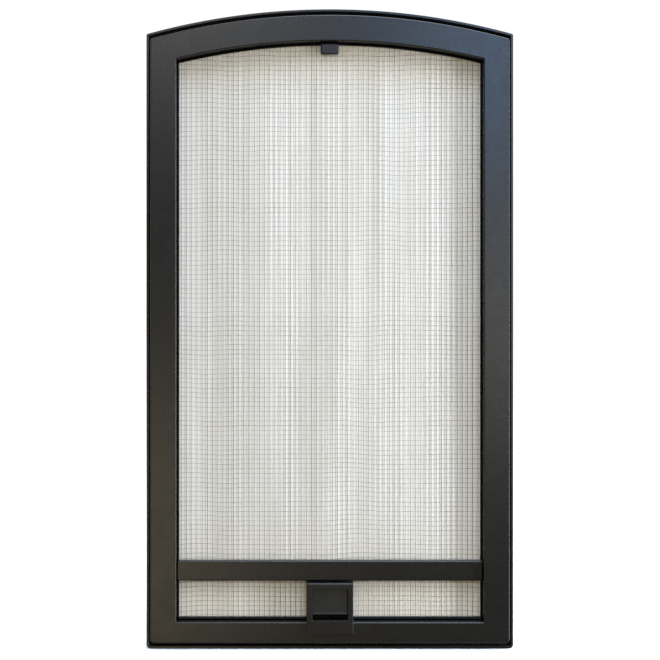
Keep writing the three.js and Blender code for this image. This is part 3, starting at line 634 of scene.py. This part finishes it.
def lathe(name, profile, centre, axis, material, body, nodes=(), steps=TURN_STEPS):
    """A turned piece. profile is a list of (radius, place along the axis), or (radius, place, 6) where the
    section is a hexagon. The axis is "X", "Y" or "Z" through the centre."""
    verts, faces = [], []
    for radius, along, *sides in profile:
        for k in range(steps):
            angle = 2 * math.pi * k / steps
            reach = radius
            if sides:
                sector = 2 * math.pi / sides[0]
                reach = radius / math.cos((angle + sector / 2) % sector - sector / 2)
            a, b = reach * math.cos(angle), reach * math.sin(angle)
            point = {"X": (along, a, b), "Y": (a, along, b), "Z": (a, b, along)}[axis]
            verts.append([point[n] + centre[n] for n in range(3)])
    for r in range(len(profile) - 1):
        for k in range(steps):
            here, there = r * steps, (r + 1) * steps
            n = (k + 1) % steps
            faces.append((here + k, here + n, there + n, there + k))
    faces.append(tuple(range(steps)))
    last = (len(profile) - 1) * steps
    faces.append(tuple(range(last, last + steps)))
    mesh = bpy.data.meshes.new(name)
    mesh.from_pydata(verts, [], faces)
    tidy = bmesh.new()
    tidy.from_mesh(mesh)
    bmesh.ops.recalc_face_normals(tidy, faces=tidy.faces)
    tidy.to_mesh(mesh)
    tidy.free()
    return add(name, mesh, material, body, True, nodes)


def middle(node):
    low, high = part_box(node)
    return (low + high) / 2, low, high


THREAD_PITCH = 0.7 * MM


def screws():
    """Button-head socket screws: a threaded shank, a domed head with a small flange, and a hexagon socket."""
    for node in SLOTS:
        if "_screw_" not in node:
            continue
        centre, low, high = middle(node)
        head = (high.x - low.x) / 2 / math.cos(math.pi / 10) * 0.98
        top, seat = high.y - centre.y, high.y - centre.y - 2.4 * MM
        tip = low.y - centre.y
        profile = [(1.2 * MM, tip), (1.6 * MM, tip + 0.4 * MM)]
        root, crest = 1.62 * MM, 1.98 * MM
        y = tip + 0.8 * MM
        while y + THREAD_PITCH < seat - 0.4 * MM:
            profile += [(root, y), (crest, y + THREAD_PITCH * 0.45), (crest, y + THREAD_PITCH * 0.55)]
            y += THREAD_PITCH
        profile += [(1.95 * MM, seat - 0.3 * MM), (1.95 * MM, seat), (head - 0.15 * MM, seat)]
        profile += [(head, seat + 0.2 * MM), (head, seat + 0.7 * MM)]
        dome = 8
        for k in range(1, dome + 1):
            angle = math.pi / 2 * k / dome
            reach = 2.0 * MM + (head - 2.0 * MM) * math.cos(angle)
            profile.append((reach, seat + 0.7 * MM + 1.7 * MM * math.sin(angle)))
        profile += [(1.42 * MM, top, 6), (1.25 * MM, top - 0.18 * MM, 6), (1.25 * MM, top - 1.3 * MM, 6)]
        profile += [(0.5 * MM, top - 1.55 * MM, 6)]
        lathe(f"{node}_body", profile, centre, "Y", ZINC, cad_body(node), [node])


def round_ends(radius, start, end, soft, steps=5):
    """Profile of a plain round bar with rounded ends."""
    first = [(radius - soft + soft * math.sin(math.pi / 2 * k / steps),
              start + soft - soft * math.cos(math.pi / 2 * k / steps)) for k in range(steps + 1)]
    second = [(r, end + start - along) for r, along in reversed(first)]
    return first + second


def pins_and_pads():
    """The pivot pin with a groove near each end, the rivet, and the domed rubber bumpers."""
    centre, low, high = middle("pivot_pin")
    half = (high.x - low.x) / 2
    profile = round_ends(2.0 * MM, -half, half, 0.5 * MM)
    groove = [(2.0 * MM, -half + 1.6 * MM), (1.75 * MM, -half + 1.7 * MM), (1.75 * MM, -half + 2.3 * MM),
              (2.0 * MM, -half + 2.4 * MM)]
    mirrored = [(radius, -along) for radius, along in reversed(groove)]
    profile[6:6] = groove + mirrored
    lathe("pivot_pin_body", profile, centre, "X", ZINC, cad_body("pivot_pin"), ["pivot_pin"])

    centre, low, high = middle("latch_rivet")
    bottom, top = low.y - centre.y, high.y - centre.y
    profile = [(1.1 * MM, bottom), (1.45 * MM, bottom + 0.3 * MM), (1.45 * MM, top - 0.6 * MM),
               (2.8 * MM, top - 0.6 * MM), (2.95 * MM, top - 0.45 * MM), (2.5 * MM, top - 0.15 * MM),
               (1.4 * MM, top - 0.01 * MM)]
    lathe("latch_rivet_body", profile, centre, "Y", ZINC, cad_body("latch_rivet"), ["latch_rivet"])

    for node in SLOTS:
        if node.startswith("bumper_"):
            centre, low, high = middle(node)
            bottom, top = low.y - centre.y, high.y - centre.y
            profile = round_ends((high.x - low.x) / 2 - 0.02 * MM, bottom, top, 0.7 * MM)
            lathe(f"{node}_pad", profile, centre, "Y", RUBBER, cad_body(node), [node])


# ---------------------------------------------------------------- softened sheet-metal and moulded parts
def softened(node, bevel, segments=3):
    """A part in the place of a CAD node, with its flat faces whole and its sharp edges rounded."""
    source = frame["nodes"][node].data
    solid = bmesh.new()
    solid.from_mesh(source)
    bmesh.ops.remove_doubles(solid, verts=solid.verts, dist=0.002 * MM)
    bmesh.ops.dissolve_limit(solid, angle_limit=math.radians(1), verts=solid.verts, edges=solid.edges)
    data = bpy.data.meshes.new(f"{node}_soft")
    solid.to_mesh(data)
    solid.free()
    slot_name = SLOTS[node]
    obj = add(f"{node}_soft", data, SLOT_MATERIALS[slot_name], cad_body(node), True, [node])
    finish_solid(obj, (), bevel, segments)


def panel_ring():
    """The panel frame: a wall, a soft front lip that covers the edge of the mesh, and folded tabs behind."""
    low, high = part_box("panel_frame")
    wall = PANEL.inset(1 * MM)
    front = low.y
    lip = PANEL.inset(1.6 * MM, 3.2 * MM)
    soft = 0.25 * MM
    section = [(PANEL.inset(soft), high.y), (PANEL, high.y - soft), (PANEL, front + 2 * soft),
               (PANEL.inset(0.6 * soft), front + 0.6 * soft), (PANEL.inset(2 * soft), front)]
    section += [(lip.inset(-soft), front), (lip, front + soft), (lip, front + 0.8 * MM)]
    section += [(wall, front + 0.8 * MM), (wall, high.y - soft), (wall.inset(-soft), high.y)]
    verts, faces = ring(section)
    tab_low = front + 4.2 * MM
    piece("panel_frame_shell", verts, faces, COAT, "panel", nodes=["panel_frame"])
    rng = np.random.default_rng(11)
    side_run = PANEL.head(PANEL.half) - PANEL.bottom
    side_count = 3
    side_places = [PANEL.bottom + side_run * (n + 0.5) / side_count for n in range(side_count)]
    end_x = 95 * MM
    places = [(side * (wall.half - 2.35 * MM), z, 2.85 * MM, 7 * MM) for side in (-1, 1) for z in side_places]
    places += [(side * end_x, PANEL.bottom + 3.4 * MM, 7 * MM, 2.7 * MM) for side in (-1, 1)]
    places += [(side * end_x, PANEL.head(end_x) - 4.6 * MM, 7 * MM, 2.4 * MM) for side in (-1, 1)]
    for n, (x, z, half_x, half_z) in enumerate(places):
        lift = rng.uniform(0.0, 0.1) * MM
        tab_rear = tab_low + 1.0 * MM - lift
        tab_box = box_mesh(f"tab_{n}", (x - half_x, tab_low, z - half_z), (x + half_x, tab_rear, z + half_z))
        tab = add(f"panel_tab_{n + 1}", tab_box, COAT, "panel", True, ["panel_frame"])
        finish_solid(tab, (), 0.3 * MM, 3)


def retainer_ring():
    """The frame behind the cloth, with a shallow stiffening bead pressed along its middle."""
    low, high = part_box("panel_retainer")
    outer = PANEL.inset(1.1 * MM)
    inner = PANEL.inset(10 * MM)
    soft = 0.2 * MM
    back = high.y - 0.35 * MM
    section = [(outer.inset(soft), back), (outer, back - soft)]
    section += [(outer, low.y + soft), (outer.inset(soft), low.y)]
    section += [(inner.inset(-soft), low.y), (inner, low.y + soft)]
    section += [(inner, back - soft), (inner.inset(-soft), back)]
    bead = [(6.2, 0.0), (5.8, 0.12), (5.3, 0.30), (4.6, 0.35), (3.9, 0.30), (3.4, 0.12), (3.0, 0.0)]
    section += [(PANEL.inset(1.1 * MM + d * MM), back + rise * MM) for d, rise in bead]
    verts, faces = ring(section)
    piece("retainer_ring", verts, faces, COAT, "panel", nodes=["panel_retainer"])


def rail():
    """The channel rail across the panel, open at the back, with rounded front arrises and hidden posts."""
    low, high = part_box("mid_rail")
    back = high.y - 0.8 * MM
    wall = SHEET
    soft = 1.8 * MM
    outer = arc(low.y + soft, high.z - soft, soft, math.pi / 2, math.pi, 8)
    outer += arc(low.y + soft, low.z + soft, soft, math.pi, 1.5 * math.pi, 8)
    points = [(back, high.z)] + outer + [(back, low.z), (back, low.z + wall), (low.y + wall, low.z + wall),
                                         (low.y + wall, high.z - wall), (back, high.z - wall)]
    extruded("mid_rail_channel", points, (low.x, high.x), COAT, "panel", 0.25 * MM, 2, ["mid_rail"])
    for n, x in enumerate((-120 * MM, 0.0, 120 * MM)):
        centre = Vector((x, (low.y + high.y) / 2, (low.z + high.z) / 2))
        start, end = low.y + wall - centre.y, high.y - centre.y
        profile = [(4.5 * MM, start), (4.5 * MM, end - 0.4 * MM), (4.1 * MM, end), (2.3 * MM, end),
                   (2.1 * MM, start)]
        lathe(f"rail_post_{n + 1}", profile, centre, "Y", COAT, "panel", ["mid_rail"])


# ---------------------------------------------------------------- thumb latch
def thumb_latch():
    """The housing with its bevelled face and pocket, and the pad inside it, whose face leans back."""
    low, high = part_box("latch_housing")
    pocket_low, pocket_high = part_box("latch_thumb_pad")
    left, right = pocket_low.x - 0.5 * MM, pocket_high.x + 0.5 * MM
    pocket_bottom, pocket_top = low.z + 16 * MM, pocket_high.z + 0.3 * MM
    floor = low.y + 9.5 * MM
    plate_rear = low.y + 2.5 * MM
    body_bottom = low.z + 14.8 * MM
    bevel = 2.2 * MM
    pocket_low_corner, pocket_high_corner = (left, low.y - 1 * MM, pocket_bottom), (right, floor, pocket_top)
    pocket = box_mesh("pocket", pocket_low_corner, pocket_high_corner)
    face = [(plate_rear, low.z), (plate_rear, high.z), (low.y + bevel * 0.55, high.z),
            (low.y, high.z - bevel), (low.y, low.z)]
    # The housing's coat loses its sheen inside the pocket: painted shade for the dark recess.
    housing_coat_with_painted_shade = painted_recess_shade_coat("housing_coat_painted_recess_shade", low.y + 3.5 * MM)
    extruded("latch_face", face, (low.x, high.x), housing_coat_with_painted_shade, "panel", 0.75 * MM, 4, ["latch_housing"],
             cutters=[pocket])
    inside = box_mesh("inside", (low.x + 2 * MM, floor + 2 * MM, body_bottom + 2 * MM),
                      (high.x - 2 * MM, high.y + 1 * MM, high.z - 2 * MM))
    slot = box_mesh("slot", (-5.4 * MM, floor - 1 * MM, 45.6 * MM), (5.4 * MM, floor + 3 * MM, 62.4 * MM))
    exit_low, exit_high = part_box("latch_bolt")
    way_out = box_mesh("way_out", (exit_low.x - 0.4 * MM, exit_low.y - 0.4 * MM, body_bottom - 1 * MM),
                       (exit_high.x + 0.4 * MM, exit_high.y + 0.4 * MM, body_bottom + 3 * MM))
    seam = plate_rear - 0.05 * MM
    body = [(seam, body_bottom), (high.y, body_bottom), (high.y, high.z), (seam, high.z)]
    cuts = [box_mesh("body_pocket", pocket_low_corner, pocket_high_corner), inside, slot, way_out]
    extruded("latch_body", body, (low.x, high.x), housing_coat_with_painted_shade, "panel", 0.2 * MM, 2, ["latch_housing"],
             cutters=cuts)
    low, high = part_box("latch_thumb_pad")
    front, bottom, top = low.y, low.z, high.z
    block_rear = front + 6 * MM
    lean = 3.4 * MM
    lip_top = bottom + 0.8 * MM
    points = [(block_rear, bottom), (block_rear, top)]
    face_steps = 28
    for i in range(face_steps + 1):
        t = 1 - i / face_steps
        set_back = lean * (0.1 * (1 - math.exp(-t / 0.03)) + 0.9 * t)
        points.append((front + set_back, lip_top + (top - lip_top) * t))
    points += [(front, bottom + 0.3 * MM), (front + 0.3 * MM, bottom)]
    extruded("thumb_pad", points, (low.x, high.x), COAT, "latch_slider", 0.2 * MM, 3, ["latch_thumb_pad"])
    stem = box_mesh("stem", (-5 * MM, block_rear - 0.5 * MM, 52 * MM), (5 * MM, high.y, 62 * MM))
    arm = add("thumb_pad_stem", stem, COAT, "latch_slider", True, ["latch_thumb_pad"])
    finish_solid(arm, (), 0.6 * MM, 3)


def top_hook():
    """The hook: a rounded pad in front of the mesh, and the lug above it, bored for the pivot pin."""
    low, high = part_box("top_hook")
    pin_low, pin_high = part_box("pivot_pin")
    pin = (pin_low + pin_high) / 2
    top = OPENING.top - 1.0 * MM
    pad_rear = low.y + 5.2 * MM
    pad_box = box_mesh("hook_pad", low, (high.x, pad_rear, top))
    pad = add("hook_pad", pad_box, COAT, "panel", True, ["top_hook"])
    finish_solid(pad, (), 1.7 * MM, 6)
    half = 5 * MM
    neck_front = low.y + 4.1 * MM
    bore = bpy.data.meshes.new("bore")
    solid = bmesh.new()
    bore_radius = 2.3 * MM
    along_pin = Matrix.Translation(pin) @ Matrix.Rotation(math.pi / 2, 4, "Y")
    bmesh.ops.create_cone(solid, cap_ends=True, segments=32, radius1=bore_radius, radius2=bore_radius,
                          depth=30 * MM, matrix=along_pin)
    solid.to_mesh(bore)
    solid.free()
    profile = [(neck_front, top - 1.5 * MM), (pad_rear, top - 1.5 * MM), (pad_rear, PANEL.top + 0.1 * MM),
               (high.y, PANEL.top + 0.1 * MM), (high.y, high.z), (neck_front, high.z)]
    extruded("hook_lug", profile, (-half, half), COAT, "panel", 0.5 * MM, 3, ["top_hook"],
             cutters=[bore])


def detent():
    """The leaf spring: an even strip with a bump, rolled at both ends."""
    centre, low, high = middle("detent_spring")
    half = (high.z - low.z) / 2
    leaf = 0.8 * MM
    steps = 48
    spread = high.x - low.x - leaf
    outer, inner = [], []
    for i in range(steps + 1):
        z = -half + 2 * half * i / steps
        u = abs(z) / half
        bow = spread * (0.22 * min(1, 6 * u) ** 1.2 + 0.06 * u + 0.72 * max(0, (u - 0.45) / 0.55) ** 1.3)
        inner.append((low.x + bow, centre.z + z * 0.985))
        outer.append((low.x + bow + leaf, centre.z + z * 0.985))
    margin = 0.02 * MM
    extruded("detent_leaf", outer + list(reversed(inner)), (low.y + margin, high.y - margin), SPRING,
             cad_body("detent_spring"), 0.1 * MM, 2, ["detent_spring"], axis="Y")


# ---------------------------------------------------------------- folding feet
LEG_RADIUS = 4 * MM
TIP_RADIUS = 12 * MM
BRACE_TOP = 192 * MM


def circle_path(centre, normal, radius, steps=40):
    """Points of a closed circle, its last one step past its first."""
    normal = Vector(normal).normalized()
    across = Vector((1, 0, 0))
    up = normal.cross(across)
    turns = np.linspace(0, 2 * math.pi, steps + 1)
    return [Vector(centre) + radius * (math.cos(a) * across + math.sin(a) * up) for a in turns]


def feet():
    """Each foot: an upright leg, one rod bent round the toe, and a weld bead at each joint."""
    for hand in ("left", "right"):
        node = f"foot_{hand}"
        low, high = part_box(node)
        x = (low.x + high.x) / 2
        y = low.y + LEG_RADIUS
        floor_line = low.z + LEG_RADIUS
        tip = high.y - 0.15 * MM - LEG_RADIUS - TIP_RADIUS
        leg = round_ends(LEG_RADIUS, 0, high.z - low.z, 1.2 * MM)
        lathe(f"leg_{hand}", leg, Vector((x, y, low.z)), "Z", COAT, node, [node], 32)
        slope = math.atan2(BRACE_TOP - floor_line - TIP_RADIUS, tip - y)
        bend = math.pi / 2 + slope
        path = [(x, y + (tip - y) * k / 8, floor_line) for k in range(8)]
        bend_steps = 28
        for k in range(bend_steps + 1):
            angle = -math.pi / 2 + bend * k / bend_steps
            rise = TIP_RADIUS * (1 + math.sin(angle))
            path.append((x, tip + TIP_RADIUS * math.cos(angle), floor_line + rise))
        end = Vector(path[-1])
        brace_end = Vector((x, y, BRACE_TOP))
        path += [tuple(end.lerp(brace_end, k / 10)) for k in range(1, 11)]
        verts, faces = tubes([path], [LEG_RADIUS], 24, (1.0, 0.0, 0.0))
        piece(f"foot_rod_{hand}", verts, faces, COAT, node, nodes=[node])
        brace = (end - brace_end).normalized()
        beads = [circle_path((x, y + 4.3 * MM, floor_line), (0, 1, 0), LEG_RADIUS - 0.1 * MM),
                 circle_path(brace_end + brace * 6.2 * MM, brace, LEG_RADIUS - 0.1 * MM)]
        for n, bead in enumerate(beads):
            verts, faces = tubes([bead], [0.75 * MM], 10, (0.0, 0.37, 0.93) if n else (0.0, 1.0, 0.0))
            piece(f"weld_bead_{hand}_{n + 1}", verts, faces, COAT, node, nodes=[node])


def small_parts():
    """The flat brackets, the foot clips and the rubber glides."""
    for node in ("strike_plate", "pivot_keeper", "mid_rail_backer", "latch_cover", "latch_backer",
                 "latch_bolt"):
        softened(node, 0.3 * MM, 2)
    for hand in ("left", "right"):
        softened(f"glide_{hand}", 1.0 * MM, 4)
        for n in (1, 2):
            softened(f"foot_clip_{hand}_{n}", 0.25 * MM, 2)


# ---------------------------------------------------------------- light and floor
def lamp(name, place, target, size, power, colour=(1, 1, 1)):
    data = bpy.data.lights.new(name, "AREA")
    data.shape = "RECTANGLE"
    data.size, data.size_y = size
    data.energy = power
    data.color = colour
    obj = bpy.data.objects.new(name, data)
    obj.location = place
    obj.rotation_euler = (Vector(target) - Vector(place)).to_track_quat("-Z", "Y").to_euler()
    obj.visible_camera = False
    scene.collection.objects.link(obj)


# Soft boxes behind the camera, which the face of the frame mirrors: the place on the face (x, z) where the
# camera sees each one, its size, its power and its colour.
SOFT_BOX_DISTANCE = 3.2
SOFT_BOXES = [
    ("cool_box", (0.21, 0.73), (0.65, 0.85), 18, (0.42, 0.64, 1.0)),
    ("side_box", (0.22, 0.40), (0.50, 0.80), 6.5, (1.0, 0.97, 0.92)),
    ("head_box", (-0.19, 0.80), (0.80, 0.55), 8.5, (1.0, 0.98, 0.97)),
    ("warm_box", (-0.25, 0.14), (0.70, 1.05), 8, (1.0, 0.86, 0.60)),
]


def soft_boxes():
    eye = camera.location
    for name, (x, z), size, power, colour in SOFT_BOXES:
        ratio = SOFT_BOX_DISTANCE / CAMERA_DISTANCE
        place = (x + ratio * (x - eye.x), FACE - SOFT_BOX_DISTANCE, z + ratio * (z - eye.z))
        lamp(name, place, (x, FACE, z), size, power, colour)


ROOM = (0.22, 0.19, 0.125)
WHITE = (1.05, 1.05, 1.05)
OVERHEAD = (1.32, 1.45, 1.65)


def surroundings():
    """White in front of the camera and overhead, and a dimmer room behind it."""
    world = bpy.data.worlds.new("studio")
    world.use_nodes = True
    nodes, links = world.node_tree.nodes, world.node_tree.links
    background = nodes["Background"]
    background.inputs["Strength"].default_value = 1.0
    direction = nodes.new("ShaderNodeTexCoord").outputs["Generated"]

    def towards(target):
        dot = nodes.new("ShaderNodeVectorMath")
        dot.operation = "DOT_PRODUCT"
        links.new(direction, dot.inputs[0])
        dot.inputs[1].default_value = target
        return dot.outputs["Value"]

    def ramp(value, low, high):
        node = nodes.new("ShaderNodeMapRange")
        node.interpolation_type = "SMOOTHSTEP"
        node.inputs["From Min"].default_value = low
        node.inputs["From Max"].default_value = high
        links.new(value, node.inputs["Value"])
        return node.outputs["Result"]

    def blend(factor, first, second):
        node = nodes.new("ShaderNodeMix")
        node.data_type = "RGBA"
        links.new(factor, node.inputs["Factor"])
        for colour, socket in ((first, node.inputs[6]), (second, node.inputs[7])):
            if isinstance(colour, bpy.types.NodeSocket):
                links.new(colour, socket)
            else:
                socket.default_value = (*colour, 1)
        return node.outputs[2]

    colour = blend(ramp(towards((0, 1, 0)), -0.35, 0.1), ROOM, WHITE)
    colour = blend(ramp(towards((0, 0, 1)), 0.25, 0.9), colour, OVERHEAD)
    links.new(colour, background.inputs["Color"])
    scene.world = world


def studio():
    surroundings()
    floor = bpy.data.meshes.new("floor")
    size = 30
    corners = [(-size, -size, 0), (size, -size, 0), (size, size, 0), (-size, size, 0)]
    floor.from_pydata(corners, [], [(0, 1, 2, 3)])
    s = Shader("pale_floor", Roughness=0.95)
    s.base.inputs["Base Color"].default_value = (0.95, 0.95, 0.95, 1)
    s.base.inputs["Specular IOR Level"].default_value = 0.0
    floor.materials.append(s.material)
    obj = bpy.data.objects.new("floor", floor)
    scene.collection.objects.link(obj)
    # The floor is only a backdrop: the object is lit and mirrored as if it hung in the studio.
    obj.visible_glossy = False
    obj.visible_diffuse = False
    obj.visible_shadow = False
    soft_boxes()
    lamp("top_lamp", (0.7, -0.9, 3.2), (0, 0, 0.35), (2.6, 1.8), 128, (0.78, 0.92, 1.18))
    lamp("right_lamp", (1.7, -0.65, 0.35), (0, 0, 0.35), (0.5, 2.0), 58, (0.84, 0.94, 1.12))
    lamp("left_lamp", (-1.9, -1.7, 0.6), (0, 0, 0.5), (0.5, 1.2), 3, (1.0, 0.98, 0.95))


front_frame()
back_frame()
woven_mesh()
backing_cloth()
panel_ring()
retainer_ring()
rail()
thumb_latch()
top_hook()
detent()
pins_and_pads()
screws()
feet()
small_parts()
even_normals()
paint_cad_nodes()
studio()
